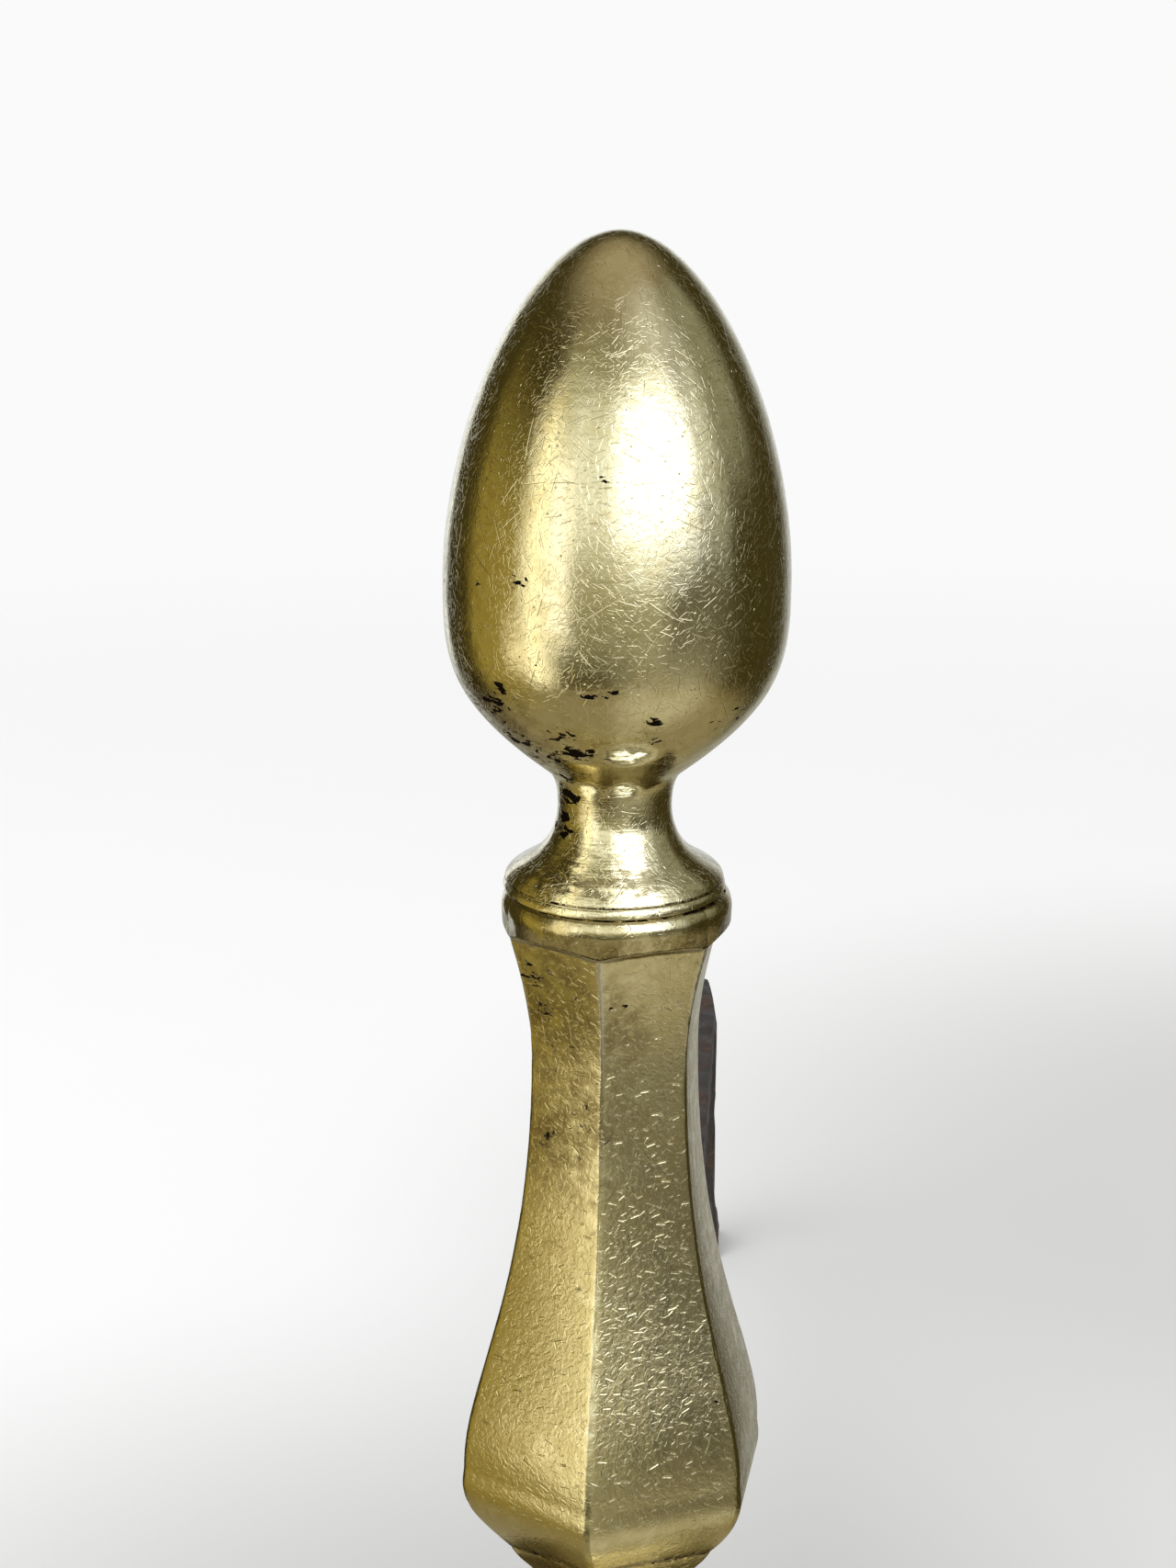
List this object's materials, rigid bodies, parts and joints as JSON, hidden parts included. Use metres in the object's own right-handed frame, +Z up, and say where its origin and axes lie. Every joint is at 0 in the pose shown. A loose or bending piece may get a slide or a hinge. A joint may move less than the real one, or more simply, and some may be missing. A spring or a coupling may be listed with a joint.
{
  "type": "andiron",
  "caption": "Brass and iron andiron: egg finial on a faceted baluster shaft and plinth, cabriole front legs with ball feet, and an iron billet bar with a bent rear leg.",
  "frame": {"origin": "on the floor, under the middle of the object's box", "axes": "+Z up; -Y is the front, with the brass column; the billet bar runs back along +Y; +X is the andiron's right leg as seen from the front"},
  "size_m": [0.2188, 0.554, 0.4106],
  "materials": {
    "finial_brass": "old polish with fine scratches and dark pits",
    "shaft_brass": "old polish, nicked and patinated",
    "plinth_brass": "old polish with patina in the mouldings",
    "leg_brass": "old polish, worn on the knees",
    "bar_iron": "forged, blackened by fire, with rust",
    "rod_iron": "forged and lightly rusted"
  },
  "bodies": {
    "root": {"finial": "finial_brass", "shaft": "shaft_brass", "plinth_cap": "plinth_brass", "plinth": "plinth_brass", "leg_plate": "plinth_brass", "left_leg": "leg_brass", "right_leg": "leg_brass", "leg_rivets": "rod_iron", "billet_bar": "bar_iron", "column_rod": "rod_iron", "rod_washer": "rod_iron", "rod_nut": "rod_iron"}
  },
  "joints": []
}
